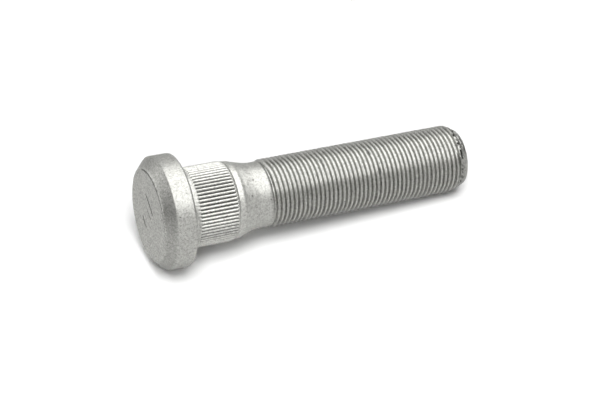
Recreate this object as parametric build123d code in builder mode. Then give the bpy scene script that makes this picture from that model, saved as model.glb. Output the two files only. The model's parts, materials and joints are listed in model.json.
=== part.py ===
from build123d import *
import os
from math import radians, tan

# A wheel stud for a heavy vehicle's hub: a round forged head, a knurl that presses into the hub,
# a tapered neck and a rolled thread for the wheel nut, all in one piece of steel.
# The stud stands on its threaded end. The origin is the centre of that end and +Z runs up to the head.
# Lengths are in millimetres and angles in degrees.

# Thread: rolled on, and drawn here as a plain cylinder over the crests
thread_diameter = 22.0
thread_pitch = 1.5
thread_length = 69.4  # from the end face to the plain neck
runout_length = 1.2  # where the crests rise from the neck to full height
end_chamfer_length = 3.05
end_chamfer_depth = 1.95  # how much the chamfer takes off the thread's radius

# Neck: the bare blank between the thread and the knurl
neck_length = 3.6
taper_length = 7.7
neck_blend_radius = 15.0  # the hollow curve where the taper meets the neck

# Knurl: straight rolled teeth, which stand up from the shoulder's surface and leave grooves between
knurl_diameter = 25.6  # over the crests
knurl_length = 13.4
knurl_teeth = 66
crest_rise = 0.2  # from the shoulder up to the crests
groove_depth = 0.45  # from the crests down to the groove's floor
groove_angle = 90.0
groove_floor_width = 0.1
tooth_end_length = 0.5  # the slope at each end of a tooth, from the shoulder up to the crest

# Collar: the smooth band of shoulder between the teeth and the head
collar_length = 3.0

# Head
head_diameter = 36.4
rim_height = 6.7
head_chamfer = 3.25  # at 45 degrees, from the rim to the flat outer face
back_edge_chamfer = 0.4
rim_edge_radius = 1.0
face_edge_radius = 0.8

# A rolled thread's blank has the pitch diameter, which a metric thread sets at 0.6495 of its pitch below the crests.
pitch_diameter_drop = 0.6495 * thread_pitch
neck_radius = (thread_diameter - pitch_diameter_drop) / 2
thread_radius = thread_diameter / 2
knurl_radius = knurl_diameter / 2
shoulder_radius = knurl_radius - crest_rise
head_radius = head_diameter / 2

# Heights over the threaded end, from the bottom up
runout_bottom = thread_length - runout_length
taper_bottom = thread_length + neck_length
knurl_bottom = taper_bottom + taper_length
knurl_top = knurl_bottom + knurl_length
head_seat = knurl_top + collar_length
rim_top = head_seat + rim_height
head_top = rim_top + head_chamfer

with BuildPart() as wheel_stud:
    # Half of the long section, with the knurl as a plain band over its crests
    with BuildSketch(Plane.XZ) as half_section:
        with BuildLine():
            outline = FilletPolyline(
                (0, 0),
                (thread_radius - end_chamfer_depth, 0),
                (thread_radius, end_chamfer_length),
                (thread_radius, runout_bottom),
                (neck_radius, thread_length),
                (neck_radius, taper_bottom),
                (shoulder_radius, knurl_bottom),
                (knurl_radius, knurl_bottom + tooth_end_length),
                (knurl_radius, knurl_top - tooth_end_length),
                (shoulder_radius, knurl_top),
                (shoulder_radius, head_seat),
                (head_radius - back_edge_chamfer, head_seat),
                (head_radius, head_seat + back_edge_chamfer),
                (head_radius, rim_top),
                (head_radius - head_chamfer, head_top),
                (0, head_top),
                radius=[0, 0, 0, 0, neck_blend_radius, 0, 0, 0, 0, 0, 0, 0, rim_edge_radius, face_edge_radius],
            )
            Line(outline @ 1, outline @ 0)
        make_face()
    revolve(axis=Axis.Z)

    # The grooves between the teeth, which run out at the taper below and stop at the collar above
    groove_slope = tan(radians(groove_angle / 2))
    groove_reach = groove_depth + crest_rise / 4  # a little past the crests, so that each groove is cut open
    floor_half = groove_floor_width / 2
    mouth_half = floor_half + groove_reach * groove_slope
    with BuildSketch(Plane.XY.offset(taper_bottom)):
        with PolarLocations(knurl_radius - groove_depth, knurl_teeth):
            Polygon(
                (0, -floor_half),
                (groove_reach, -mouth_half),
                (groove_reach, mouth_half),
                (0, floor_half),
                align=None,
            )
    extrude(amount=knurl_top - taper_bottom, mode=Mode.SUBTRACT)

wheel_stud.part.label = "wheel_stud"

os.makedirs("parts", exist_ok=True)
export_step(wheel_stud.part, "parts/wheel_stud.step")
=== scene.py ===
import json
from math import atan2, cos, degrees, exp, hypot, pi, radians, sin, tan, tau

import bmesh
import bpy
from mathutils import Matrix, Vector, noise


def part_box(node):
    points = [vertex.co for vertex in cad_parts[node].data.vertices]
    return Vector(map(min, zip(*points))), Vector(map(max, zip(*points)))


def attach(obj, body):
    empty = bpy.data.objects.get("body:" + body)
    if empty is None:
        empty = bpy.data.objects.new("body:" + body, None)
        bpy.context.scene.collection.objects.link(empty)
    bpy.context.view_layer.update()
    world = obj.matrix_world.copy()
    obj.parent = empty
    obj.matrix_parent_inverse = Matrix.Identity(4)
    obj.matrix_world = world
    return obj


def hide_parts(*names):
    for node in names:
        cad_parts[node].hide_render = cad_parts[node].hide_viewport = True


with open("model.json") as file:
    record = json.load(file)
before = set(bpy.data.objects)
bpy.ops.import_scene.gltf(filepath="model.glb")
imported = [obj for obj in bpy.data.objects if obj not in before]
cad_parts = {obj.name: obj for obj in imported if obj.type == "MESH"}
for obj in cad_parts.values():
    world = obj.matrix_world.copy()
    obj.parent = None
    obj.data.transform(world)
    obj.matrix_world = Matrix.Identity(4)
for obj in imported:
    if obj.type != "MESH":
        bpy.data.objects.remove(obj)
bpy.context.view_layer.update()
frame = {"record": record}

# Camera: a long lens 73 cm from the stud and 21 degrees above its middle, on the side of the head.
# It is turned almost onto its side, so that the standing stud runs across the picture.
mm = 0.001
camera_aim = Vector((-4.27, 0, 56.4)) * mm
camera_distance = 726.9 * mm
camera_elevation = radians(20.97)
camera_roll = radians(100.9)
lens = bpy.data.cameras.new("camera")
lens.sensor_width = 36
lens.lens = 136.6
camera = bpy.data.objects.new("camera", lens)
camera.matrix_world = (
    Matrix.Translation(camera_aim)
    @ Matrix.Rotation(pi / 2 - camera_elevation, 4, "X")
    @ Matrix.Rotation(-camera_roll, 4, "Z")
    @ Matrix.Translation((0, 0, camera_distance))
)
bpy.context.scene.collection.objects.link(camera)
bpy.context.scene.camera = camera
bpy.context.scene.view_settings.view_transform = "Standard"


# Lights: one large softbox is the key, and a smaller one stands beyond the head. The room is white around
# the stud, grey over the head and dark straight below, so that slopes and grooves stand apart.
# Three more lamps light only the floor and the board.
class Wire:
    """A shader socket. Arithmetic on wires adds the Math nodes that work it out."""

    def __init__(self, tree, socket=None):
        self.tree = tree
        self.socket = socket

    def node(self, kind, settings=(), inputs=(), output=0):
        """Adds a node, sets it up, then gives its sockets their values or links."""
        added = self.tree.nodes.new(kind)
        for name, setting in dict(settings).items():
            if name == "stops":
                ramp = added.color_ramp.elements
                while len(ramp) < len(setting):
                    ramp.new(0.5)
                for stop, (place, colour) in zip(ramp, setting):
                    stop.position = place
                    stop.color = colour
            else:
                setattr(added, name, setting)
        for name, value in dict(inputs).items():
            if isinstance(value, Wire):
                self.tree.links.new(value.socket, added.inputs[name])
            else:
                added.inputs[name].default_value = value
        return Wire(self.tree, added.outputs[output] if added.outputs else None)

    def math(self, operation, *values):
        """Adds a Math node, with this wire as its first value."""
        return self.node("ShaderNodeMath", {"operation": operation}, enumerate((self, *values)))

    def __add__(self, other):
        return self.math("ADD", other)

    __radd__ = __add__

    def __sub__(self, other):
        return self.math("SUBTRACT", other)

    def __rsub__(self, other):
        return self.node("ShaderNodeMath", {"operation": "SUBTRACT"}, {0: other, 1: self})

    def __mul__(self, other):
        return self.math("MULTIPLY", other)

    __rmul__ = __mul__

    def __truediv__(self, other):
        return self.math("DIVIDE", other)


# The room's greys run from straight below to straight above.
room_greys = [(0.0, 0.05), (0.08, 0.2), (0.12, 1.1), (0.3, 1.0), (0.62, 0.95), (0.78, 0.6), (1.0, 0.3)]
far_side_strength = 0.9
world = bpy.data.worlds.new("room")
bpy.context.scene.world = world
world.use_nodes = True
world.node_tree.nodes.clear()
world.cycles_visibility.diffuse = False
room = Wire(world.node_tree)
looking = room.node("ShaderNodeTexCoord")
looking_back = room.node("ShaderNodeSeparateXYZ", inputs={"Vector": looking}, output=1)
looking_up = room.node("ShaderNodeSeparateXYZ", inputs={"Vector": looking}, output=2)
room_light = room.node(
    "ShaderNodeValToRGB",
    {"stops": [(place, (grey, grey, grey, 1)) for place, grey in room_greys]},
    {"Fac": looking_up * 0.5 + 0.5},
)
room_strength = room.node(
    "ShaderNodeMapRange",
    {"interpolation_type": "SMOOTHSTEP"},
    {"Value": looking_back, "From Min": 0, "From Max": 0.7, "To Min": 1, "To Max": far_side_strength},
)
background = room.node("ShaderNodeBackground", inputs={"Color": room_light, "Strength": room_strength})
room.node("ShaderNodeOutputWorld", inputs={"Surface": background})

stud_middle = Vector((0, 0, 56)) * mm
board_normal = Vector((0.781, -0.620, 0.0766)).normalized()


def softbox(name, direction, distance, width, height, watts, mirrored):
    """A soft rectangular light that faces the middle of the stud.
    The stud mirrors it, or else it lights only the floor and the board."""
    panel = bpy.data.lights.new(name, "AREA")
    panel.shape = "RECTANGLE"
    panel.size = width
    panel.size_y = height
    panel.energy = watts
    lamp = bpy.data.objects.new(name, panel)
    towards = Vector(direction).normalized()
    facing = towards.to_track_quat("Z", "Y").to_matrix().to_4x4()
    lamp.matrix_world = Matrix.Translation(stud_middle + towards * distance) @ facing
    lamp.visible_camera = False
    lamp.visible_glossy = mirrored
    lamp.visible_diffuse = not mirrored
    bpy.context.scene.collection.objects.link(lamp)


softbox("key", (0.68, -0.64, -0.36), 0.9, width=1.8, height=1.05, watts=12.6, mirrored=True)
softbox("beyond_head", (0.36, 0.34, 0.87), 1.0, width=0.9, height=0.9, watts=5.0, mirrored=True)
softbox("board_light", (0.43, -0.88, 0.17), 4.0, width=1.8, height=1.8, watts=126, mirrored=False)
softbox("board_fill", (0.1, -0.93, 0.35), 4.0, width=1.8, height=1.8, watts=66, mirrored=False)
softbox("board_top", board_normal, 4.0, width=4.0, height=4.0, watts=34, mirrored=False)

# Floor and board: the stud stands on a white floor and a white board leans against its side, touching
# the head and the last turns of the thread. The board catches the soft shadow and is open from behind.
# The floor fades out towards the board, and a strip of board behind the stud glows in reflections only.
white = (1, 1, 1, 1)
upright = Vector((0, 0, 1))
beside_stud = upright.cross(board_normal).normalized()
board_offset = -10.72 * mm
stage_reach = 2.0
floor_start = 12 * mm
floor_full = 40 * mm
strip_middle = upright * 48 * mm + beside_stud * 19 * mm
strip_half = Vector((21, 58)) * mm


def white_surface(name, glow, fades):
    """Matt white that takes shadows and is open from behind.
    It fades out towards the board, or else it glows behind the stud for what mirrors it."""
    material = bpy.data.materials.new(name)
    material.use_nodes = True
    material.node_tree.nodes.clear()
    wire = Wire(material.node_tree)
    spot = wire.node("ShaderNodeTexCoord", output=3)

    def along(direction):
        """How far the spot lies from the origin in one direction."""
        return wire.node(
            "ShaderNodeVectorMath", {"operation": "DOT_PRODUCT"}, {0: spot, 1: direction}, output=1
        )

    def fading(value, start, end):
        """1 where a value is under start, 0 where it is over end, and smooth between."""
        return wire.node(
            "ShaderNodeMapRange",
            {"interpolation_type": "SMOOTHSTEP"},
            {"Value": value, "From Min": start, "From Max": end, "To Min": 1, "To Max": 0},
        )

    open_share = wire.node("ShaderNodeNewGeometry", output=6)
    if fades:
        off_board = along(board_normal) - board_offset
        open_share = open_share.math("MAXIMUM", fading(off_board, floor_start, floor_full))
    else:
        sideways = (along(beside_stud) - strip_middle.dot(beside_stud)).math("ABSOLUTE")
        upwards = (along(upright) - strip_middle.z).math("ABSOLUTE")
        strip = fading(sideways, strip_half.x / 2, strip_half.x)
        strip = strip * fading(upwards, strip_half.y * 0.9, strip_half.y)
        in_reflections = wire.node("ShaderNodeLightPath", output=3)
        glow = strip * in_reflections * glow
    matt = wire.node("ShaderNodeBsdfDiffuse", inputs={"Color": white})
    lit = wire.node("ShaderNodeEmission", inputs={"Color": white, "Strength": glow})
    both = wire.node("ShaderNodeAddShader", inputs={0: matt, 1: lit})
    clear = wire.node("ShaderNodeBsdfTransparent")
    surface = wire.node("ShaderNodeMixShader", inputs={0: open_share, 1: both, 2: clear})
    wire.node("ShaderNodeOutputMaterial", inputs={"Surface": surface})
    return material


for name, normal, offset, glow, mirrored in (
    ("floor", upright, 0, 0.85, False),
    ("board", board_normal, board_offset, 0.6, True),
):
    sheet = bmesh.new()
    facing = normal.to_track_quat("Z", "Y").to_matrix().to_4x4()
    placed = Matrix.Translation(normal * offset) @ facing
    bmesh.ops.create_grid(sheet, x_segments=1, y_segments=1, size=stage_reach, matrix=placed)
    sheet_mesh = bpy.data.meshes.new(name)
    sheet.to_mesh(sheet_mesh)
    sheet.free()
    sheet_mesh.materials.append(white_surface(name, glow, fades=not mirrored))
    backdrop = bpy.data.objects.new(name, sheet_mesh)
    backdrop.visible_glossy = mirrored
    backdrop.visible_diffuse = False
    backdrop.visible_transmission = False
    backdrop.visible_shadow = False
    bpy.context.scene.collection.objects.link(backdrop)

# Wheel stud: one steel blank with a forged head, a rolled knurl and a rolled thread, coated with zinc
# flake. The thread is spun as a helix, the neck, knurl and collar as one tube and the head as a second.
# The three stretches are then joined into one closed skin.
mounts = {mount["name"]: mount for mount in frame["record"]["mounts"]}
head_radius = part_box("wheel_stud")[1].x
head_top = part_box("wheel_stud")[1].z
head_seat = mounts["head_seat"]["pos_m"][2]
thread_radius = mounts["thread"]["dims"]["r_mm"] * mm
crest_radius = mounts["knurl"]["dims"]["r_mm"] * mm
knurl_middle = mounts["knurl"]["pos_m"][2]
crest_length = mounts["knurl"]["dims"]["length_mm"] * mm

around = {"cent": (0, 0, 0), "axis": (0, 0, 1)}
weld = 0.002 * mm


def everything(shape):
    """All the vertices, edges and faces of a shape."""
    return shape.verts[:] + shape.edges[:] + shape.faces[:]


def set_radius(vert, radius):
    """Moves a vertex straight in or out from the stud's axis."""
    vert.co.xy *= radius / hypot(vert.co.x, vert.co.y)


def open_loop(shape, height):
    """The open edges at one height."""
    return [
        edge
        for edge in shape.edges
        if edge.is_boundary and all(abs(vert.co.z - height) < 0.01 * mm for vert in edge.verts)
    ]


# Thread: one pitch of its outline makes one turn, and the turn is repeated up the shank.
# The start sets where the turns lie, and the turns near the end are cut finer.
pitch = 1.5 * mm
crest_half = 0.08 * pitch
root_half = 0.12 * pitch
thread_depth = (pitch / 2 - crest_half - root_half) * tan(radians(60))
thread_top = 69.4 * mm
crest_runout = 1.2 * mm
root_runout = 0.7 * mm
neck_radius = thread_radius - 0.325 * pitch
thread_start = -2.18 * pitch
turn_count = 50
turn_steps = 96
fine_from = -0.5 * mm
fine_to = 4.2 * mm
half_outline = [(0, thread_depth), (root_half, thread_depth), (pitch / 2 - crest_half, 0), (pitch / 2, 0)]
outline = half_outline + [(pitch - along, depth) for along, depth in reversed(half_outline[:-1])]
thread = bmesh.new()
rungs = [
    thread.verts.new((thread_radius - depth, 0, thread_start + along))
    for along, depth in outline
]
for pair in zip(rungs, rungs[1:]):
    thread.edges.new(pair)
climb = Vector((0, 0, pitch))
bmesh.ops.spin(
    thread, geom=everything(thread), angle=tau, steps=turn_steps, dvec=climb / turn_steps, **around
)
bmesh.ops.spin(
    thread, geom=everything(thread), angle=0, steps=turn_count - 1, dvec=climb, use_duplicate=True, **around
)
bmesh.ops.remove_doubles(thread, verts=thread.verts, dist=weld)
end_edges = [edge for edge in thread.edges if all(fine_from < vert.co.z < fine_to for vert in edge.verts)]
bmesh.ops.subdivide_edges(thread, edges=end_edges, cuts=2, use_grid_fill=True)

# The crests fade into the neck and are cut by the end chamfer, which runs long on one side. Rolling left
# them a little uneven and the last turn broken. A few nicks come from handling.
# A nick is its angle about the axis, its height, its width and its depth.
end_radius = 9.05 * mm
chamfer_length = 3.05 * mm
long_side = radians(-175)
long_share = 0.6
chip_size = 1.2 * mm
chip_depth = 0.25 * mm
chip_rarity = 0.25
ragged_size = 0.75 * mm
ragged_depth = 1.4 * mm
ragged_rarity = 0.08
ragged_height = 2.3 * mm
ragged_reach = 1.6 * mm
cavity_depth = 0.7 * mm
nicks = [
    (-50.6, 50.4, 1.1, 0.45),
    (-61.6, 50.2, 0.8, 0.35),
    (-53.0, 33.5, 1.2, 0.5),
    (-91.7, 32.0, 1.1, 0.5),
    (-50.5, 2.7, 0.9, 0.7),
    (-57.9, 1.9, 0.8, 0.7),
    (-64.8, 1.6, 0.8, 0.6),
    (140, 21.0, 1.2, 0.45),
    (60, 44.5, 1.0, 0.4),
    (-160, 58.0, 1.1, 0.4),
]
nick_places = []
for angle, height, width, depth in nicks:
    place = Matrix.Rotation(radians(angle), 3, "Z") @ Vector((thread_radius, 0, height * mm))
    nick_places.append((place, width * mm, depth * mm))
thread_sunk_shade = thread.verts.layers.float.new("grime")
for vert in thread.verts:
    height = vert.co.z
    radius = hypot(vert.co.x, vert.co.y)
    crest = 1 - (thread_radius - radius) / thread_depth
    lengthened = 1 + long_share * max(0, cos(atan2(vert.co.y, vert.co.x) - long_side)) ** 2
    cone = end_radius + (thread_radius - end_radius) * height / (chamfer_length * lengthened)
    loss = crest * chip_depth * max(0, noise.noise(vert.co / chip_size) - chip_rarity)
    ragged = max(0, 1 - abs(height - ragged_height) / ragged_reach)
    loss += ragged * ragged_depth * max(0, noise.noise(vert.co / ragged_size) - ragged_rarity)
    for place, width, depth in nick_places:
        loss = max(loss, depth * (1 - (vert.co - place).length / width))
    # Painted shade: the deeper a place is cut away, the darker its coat is painted.
    vert[thread_sunk_shade] = min(1, loss / cavity_depth)
    runout = crest_runout if radius > neck_radius else root_runout
    rise = min(1, max(0, (thread_top - height) / runout))
    radius = neck_radius + (radius - neck_radius) * rise
    set_radius(vert, min(radius, cone) - loss)

neck_cut = thread_top + 0.6 * mm
for cut_height, cut_away in ((0, "clear_inner"), (neck_cut, "clear_outer")):
    bmesh.ops.bisect_plane(
        thread,
        geom=everything(thread),
        plane_co=(0, 0, cut_height),
        plane_no=(0, 0, 1),
        dist=0.001 * mm,
        **{cut_away: True},
    )

# The end face, drawn in from the chamfer's edge to its middle.
end_loop = open_loop(thread, 0)
for share in (0.93, 0.7, 0.4, 0.12, 0):
    drawn = bmesh.ops.extrude_edge_only(thread, edges=end_loop)["geom"]
    end_loop = [part for part in drawn if isinstance(part, bmesh.types.BMEdge) and part.is_boundary]
    for vert in {vert for edge in end_loop for vert in edge.verts}:
        set_radius(vert, share * end_radius)


def rounded(before, corner, after, radius, segments):
    """Points along the arc that rounds one corner of an outline."""
    to_before = (before - corner).normalized()
    to_after = (after - corner).normalized()
    half_angle = to_before.angle(to_after) / 2
    start = corner + to_before * radius / tan(half_angle)
    end = corner + to_after * radius / tan(half_angle)
    centre = corner + (to_before + to_after).normalized() * radius / sin(half_angle)
    return [
        centre + radius * (start - centre).slerp(end - centre, step / segments)
        for step in range(segments + 1)
    ]


def spun(corners, segments):
    """Spins an outline about the stud's axis.
    A corner is its radius, height, rounding, segments in the rounding and cuts in the run that follows."""
    shape = bmesh.new()
    places = [Vector((radius, 0, height)) for radius, height, *_ in corners]
    runs = []
    last = None
    for number, (_, _, rounding, arc_segments, cuts) in enumerate(corners):
        arc = [places[number]]
        if rounding:
            arc = rounded(*places[number - 1 : number + 2], rounding, arc_segments)
        for point in arc:
            vert = shape.verts.new(point)
            if last:
                runs.append((shape.edges.new((last, vert)), run_cuts if point is arc[0] else 0))
            last = vert
        run_cuts = cuts
    for edge, cuts in runs:
        if cuts:
            bmesh.ops.subdivide_edges(shape, edges=[edge], cuts=cuts)
    bmesh.ops.spin(shape, geom=everything(shape), angle=tau, steps=segments, use_merge=True, **around)
    return shape


# Neck, taper, knurl and collar. The taper steps up to a plain band, and a shallow dip parts the band from
# the teeth, whose ends don't quite line up.
teeth = 66
tooth_segments = 8
tooth_roundness = 0.8
tooth_end = 0.5 * mm
end_shift = 0.3 * mm
wear_size = 1.1 * mm
wear_depth = 0.12 * mm
wear_rarity = 0.3
shoulder_radius = crest_radius - 0.2 * mm
groove_radius = crest_radius - 0.45 * mm
taper_bottom = 73.0 * mm
taper_blend = 15 * mm
crest_bottom = knurl_middle - crest_length / 2
crest_top = knurl_middle + crest_length / 2
knurl_bottom = crest_bottom - tooth_end
knurl_top = crest_top + tooth_end
band_radius = shoulder_radius - 0.12 * mm
band_start_radius = shoulder_radius - 0.28 * mm
band_start = knurl_bottom - 1.7 * mm
step_radius = shoulder_radius - 0.5 * mm
step_start = knurl_bottom - 2.1 * mm
dip_radius = shoulder_radius - 0.3 * mm
neck_start = neck_cut + 0.5 * mm
seat_start = shoulder_radius + 0.6 * mm
shank = spun(
    [
        (neck_radius, neck_start, 0, 0, 2),
        (neck_radius, taper_bottom, taper_blend, 6, 2),
        (step_radius, step_start, 0, 0, 0),
        (band_start_radius, band_start, 0, 0, 3),
        (band_radius, knurl_bottom, 0.15 * mm, 2, 0),
        (dip_radius, knurl_bottom + 0.3 * mm, 0, 0, 0),
        (band_radius, knurl_bottom + 0.55 * mm, 0, 0, 1),
        (crest_radius - 0.08 * mm, knurl_bottom + 1.2 * mm, 0, 0, 0),
        (crest_radius, knurl_bottom + 2.0 * mm, 0, 0, 10),
        (crest_radius, crest_top, 0.5 * mm, 3, 1),
        (shoulder_radius, knurl_top, 0, 0, 4),
        (shoulder_radius, head_seat, 0.4 * mm, 3, 0),
        (seat_start, head_seat, 0, 0, 0),
    ],
    teeth * tooth_segments,
)
for vert in shank.verts:
    angle = atan2(vert.co.y, vert.co.x)
    if knurl_bottom + 0.25 * mm < vert.co.z < knurl_top + 0.01 * mm:
        tooth = 0.5 - 0.5 * cos(teeth * angle)
        tooth_radius = groove_radius + (crest_radius - groove_radius) * tooth**tooth_roundness
        tooth_radius -= wear_depth * max(0, noise.noise(vert.co / wear_size) - wear_rarity)
        set_radius(vert, min(hypot(vert.co.x, vert.co.y), tooth_radius))
    if knurl_bottom + 0.4 * mm < vert.co.z < knurl_bottom + 1.3 * mm:
        number = int(angle / tau * teeth + teeth)
        vert.co.z += end_shift * noise.noise(Vector((number * 0.73, 0.5, 0.5)))

# Head: upset from the same bar, with a flat face, a slope at 45 degrees, a rim and a flat seat.
# Rings are closer together inside the mark reach, where the die marks lie.
head_segments = 264
head_slope = 3.25 * mm
rim_top = head_top - head_slope
face_radius = head_radius - head_slope
crease_inside = 13 * mm
mark_reach = 8.4 * mm
face_hole = 0.5 * mm
head = spun(
    [
        (seat_start + 0.5 * mm, head_seat, 0, 0, 1),
        (head_radius, head_seat, 1.0 * mm, 6, 5),
        (head_radius, rim_top, 1.0 * mm, 5, 3),
        (face_radius, head_top, 0.8 * mm, 8, 4),
        (crease_inside, head_top, 0, 0, 3),
        (mark_reach, head_top, 0, 0, 34),
        (face_hole, head_top, 0, 0, 0),
    ],
    head_segments,
)
bmesh.ops.edgeloop_fill(head, edges=open_loop(head, head_top))

# The forging die left a crease along one side of the face's edge and a few short marks inside it.
# The crease runs between two angles in degrees and fades in and out.
# A mark is its two ends, how far its middle bows to one side, its width and its depth.
crease_radius = 14.5 * mm
crease_width = 0.22 * mm
crease_depth = 0.2 * mm
crease_from = -123
crease_to = -5
crease_fade_in = 40
crease_fade_out = 6
die_marks = [
    ((7.0, -1.1), (-1.2, -4.5), 0.2, 0.3, 0.22),
    ((0.87, 5.55), (-3.86, 4.3), -0.65, 0.28, 0.2),
    ((1.68, 0.24), (-1.93, -1.7), 0.0, 0.24, 0.13),
]
wave_size = 5 * mm
wave_depth = 0.07 * mm
dark_depth = 0.12 * mm
head_sunk_shade = head.verts.layers.float.new("grime")
for vert in head.verts:
    flat = Vector((vert.co.x, vert.co.y))
    radius = flat.length
    angle = degrees(atan2(vert.co.y, vert.co.x))
    sunk = 0
    if vert.co.z > head_top - 0.5 * mm and crease_from < angle < crease_to:
        fade = min(1, (angle - crease_from) / crease_fade_in)
        fade *= min(1, (crease_to - angle) / crease_fade_out)
        sunk = crease_depth * fade * exp(-(((radius - crease_radius) / crease_width) ** 2))
    if vert.co.z > head_top - 0.01 * mm:
        for start, end, bow, width, depth in die_marks:
            start = Vector(start) * mm
            run = Vector(end) * mm - start
            share = (flat - start).dot(run) / run.length_squared
            if 0 < share < 1:
                bowed = run.orthogonal().normalized() * bow * mm * 4 * share * (1 - share)
                off_line = (flat - start - run * share - bowed).length
                fade = min(1, 6 * share, 6 * (1 - share))
                sunk = max(sunk, depth * mm * fade * exp(-((off_line / (width * mm)) ** 2)))
    # Painted shade: the deeper the crease and marks sink, the darker their coat is painted.
    vert[head_sunk_shade] = min(1, sunk / dark_depth)
    if vert.co.z > head_seat + 0.01 * mm:
        wave = wave_depth * (0.5 + 0.5 * noise.noise(vert.co / wave_size))
        set_radius(vert, radius - wave)
        sunk += wave
    vert.co.z -= sunk

# The three stretches become one closed skin. Faces with more than four corners are cut into triangles,
# always along the same lines.
stud = bmesh.new()
stud_mesh = bpy.data.meshes.new("wheel_stud_coated")
for stretch in (thread, shank, head):
    stretch.to_mesh(stud_mesh)
    stretch.free()
    stud.from_mesh(stud_mesh)
for low, high in ((neck_cut, neck_start), (head_seat, head_seat)):
    both_rims = dict.fromkeys(open_loop(stud, low) + open_loop(stud, high))
    bmesh.ops.bridge_loops(stud, edges=list(both_rims))
bmesh.ops.remove_doubles(stud, verts=stud.verts, dist=weld)
bmesh.ops.recalc_face_normals(stud, faces=stud.faces)
many_cornered = [face for face in stud.faces if len(face.verts) > 4]
bmesh.ops.triangulate(stud, faces=many_cornered, ngon_method="BEAUTY")
stud.to_mesh(stud_mesh)
stud.free()
stud_mesh.shade_smooth()
stud_mesh.set_sharp_from_angle(angle=radians(45))

# Coating: zinc flake, a thin silver-grey paint full of metal flakes, dipped on and baked.
# Its pattern is laid out in millimetres, by height and by distance from the axis.
coat_grey = (0.37, 0.37, 0.35)
coat_edge = (0.68, 0.68, 0.68, 1)
coating = bpy.data.materials.new("zinc_flake")
coating.use_nodes = True
coating.node_tree.nodes.clear()
wire = Wire(coating.node_tree)
place = wire.node(
    "ShaderNodeVectorMath",
    {"operation": "SCALE"},
    {0: wire.node("ShaderNodeTexCoord", output=3), "Scale": 1 / mm},
)
across, along, height = (
    wire.node("ShaderNodeSeparateXYZ", inputs={"Vector": place}, output=axis) for axis in range(3)
)
radius = (across * across + along * along).math("SQRT")


def step(value, low, high):
    """0 where a value is under low, 1 where it is over high, and smooth between."""
    return wire.node(
        "ShaderNodeMapRange",
        {"interpolation_type": "SMOOTHSTEP"},
        {"Value": value, "From Min": low, "From Max": high, "To Min": 0, "To Max": 1},
    )


def stretch_of(low, low_full, high_full, high):
    """1 between two heights and 0 outside them, with a smooth edge at each."""
    return step(height, low, low_full) * step(height, high, high_full)


def grain(size, detail=2.0):
    """Uneven patches of one size in millimetres, from 0 to 1."""
    return wire.node(
        "ShaderNodeTexNoise",
        {"noise_dimensions": "3D"},
        {"Vector": place, "Scale": 1 / size, "Detail": detail},
    )


# Where the parts of the stud lie, and how deep a place is under the crests of the thread or the knurl,
# as a share of the groove.
knurl_low = knurl_bottom / mm
knurl_high = knurl_top / mm
rim_high = rim_top / mm
face_high = head_top / mm
on_end = step(height, chamfer_length / mm + 0.55, chamfer_length / mm - 0.45)
on_thread = step(height, thread_top / mm + 0.2, thread_top / mm - 0.2)
on_neck = stretch_of(thread_top / mm + 0.1, taper_bottom / mm - 1.0, knurl_low - 3.2, knurl_low - 1.3)
on_band = stretch_of(knurl_low - 2.1, knurl_low - 1.6, knurl_low, knurl_low + 0.3)
on_knurl = stretch_of(knurl_low + 0.4, knurl_low + 1.0, knurl_high - 0.3, knurl_high + 0.1)
on_slope = stretch_of(rim_high, rim_high + 0.6, face_high - 0.7, face_high - 0.1)
on_face = step(height, face_high - 0.3, face_high - 0.1)
cone_slope = (thread_radius - end_radius) / chamfer_length
envelope = (height * cone_slope + end_radius / mm).math("MINIMUM", thread_radius / mm)
thread_sunk = (envelope - radius) / (thread_depth / mm) * on_thread
knurl_sunk = (crest_radius / mm - radius) / ((crest_radius - groove_radius) / mm) * on_knurl
thread_flank = step(thread_sunk, 0.05, 0.2) * step(thread_sunk, 0.95, 0.8)
knurl_groove = step(knurl_sunk, 0.45, 0.9)
knurl_crest = on_knurl * step(knurl_sunk, 0.55, 0.15)

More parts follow.
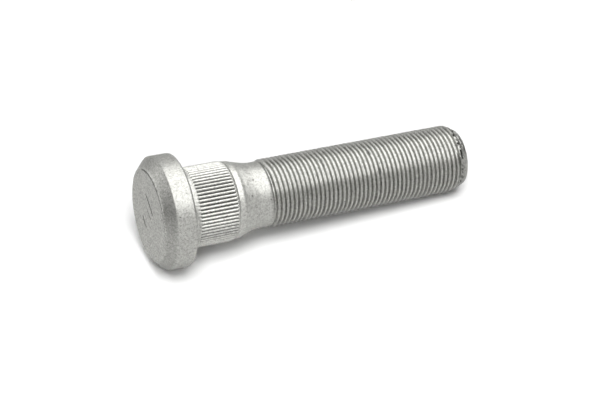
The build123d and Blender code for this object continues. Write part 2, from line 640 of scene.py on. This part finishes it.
# The coat is mottled, and pitted where scale was blasted off before coating, most of all on the neck.
speckle = 1.7
face_speckle = 1.1
mottle = grain(0.7, 2) * 0.6 + grain(0.35, 1) * 0.3 + grain(3.0, 1) * 0.1
pit_cell = 2.4
pit_rarity = 0.45
pit_scale = 0.7
pit_texture = {"Vector": place, "Scale": 1 / pit_cell}
pit_reach = wire.node("ShaderNodeTexVoronoi", inputs=pit_texture) * pit_cell
pit_colour = wire.node("ShaderNodeTexVoronoi", inputs=pit_texture, output=1)
pit_pick = wire.node("ShaderNodeSeparateColor", inputs={"Color": pit_colour})
pit_size = (pit_pick + on_neck * 0.25 + on_end * 0.3 - pit_rarity) * pit_scale
pit_edge = pit_reach + (grain(0.5) - 0.5) * 0.5
pits = step(pit_edge, pit_size, pit_size * 0.4) * step(pit_size, 0, 0.05)
# Painted shade in the nicks, the broken end, the crease and the die marks.
grime = wire.node("ShaderNodeAttribute", {"attribute_name": "grime"}, output=2)

# Painted shade darkens the grooves, breaks, flanks and the head's slope, and the end chamfer is darker.
# Painted highlight brightens the crests of the knurl and the band beside it.
tone = (mottle - 0.5) * (on_face * face_speckle + speckle) + 1
for mask, change in (
    (pits, -0.55),
    # painted shade in the sunk places
    (grime, -0.8),
    # painted shade on the head's slope
    (on_slope, -0.18),
    (on_end, -0.12),
    # painted shade on the thread's flanks
    (thread_flank, -0.16),
    # painted shade in the knurl's grooves
    (knurl_groove, -0.72),
    # painted highlight on the knurl's crests
    (knurl_crest, 0.22),
    # painted highlight on the band beside the knurl
    (on_band, 0.15),
):
    tone = tone * (mask * change + 1)
coat_colour = wire.node("ShaderNodeVectorMath", {"operation": "SCALE"}, {0: coat_grey, "Scale": tone})
bump = wire.node(
    "ShaderNodeBump",
    inputs={"Strength": 1, "Distance": 0.03 * mm, "Height": mottle - pits * 0.8},
)
roughness = 0.42 - on_thread * 0.1 - knurl_crest * 0.14 + pits * 0.15
shader = wire.node(
    "ShaderNodeBsdfPrincipled",
    inputs={
        "Base Color": coat_colour,
        "Metallic": 1,
        "Specular Tint": coat_edge,
        "Roughness": roughness,
        "Normal": bump,
    },
)
wire.node("ShaderNodeOutputMaterial", inputs={"Surface": shader})
stud_mesh.materials.append(coating)

stud_piece = bpy.data.objects.new("wheel_stud_coated", stud_mesh)
bpy.context.scene.collection.objects.link(stud_piece)
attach(stud_piece, "root")
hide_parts("wheel_stud")
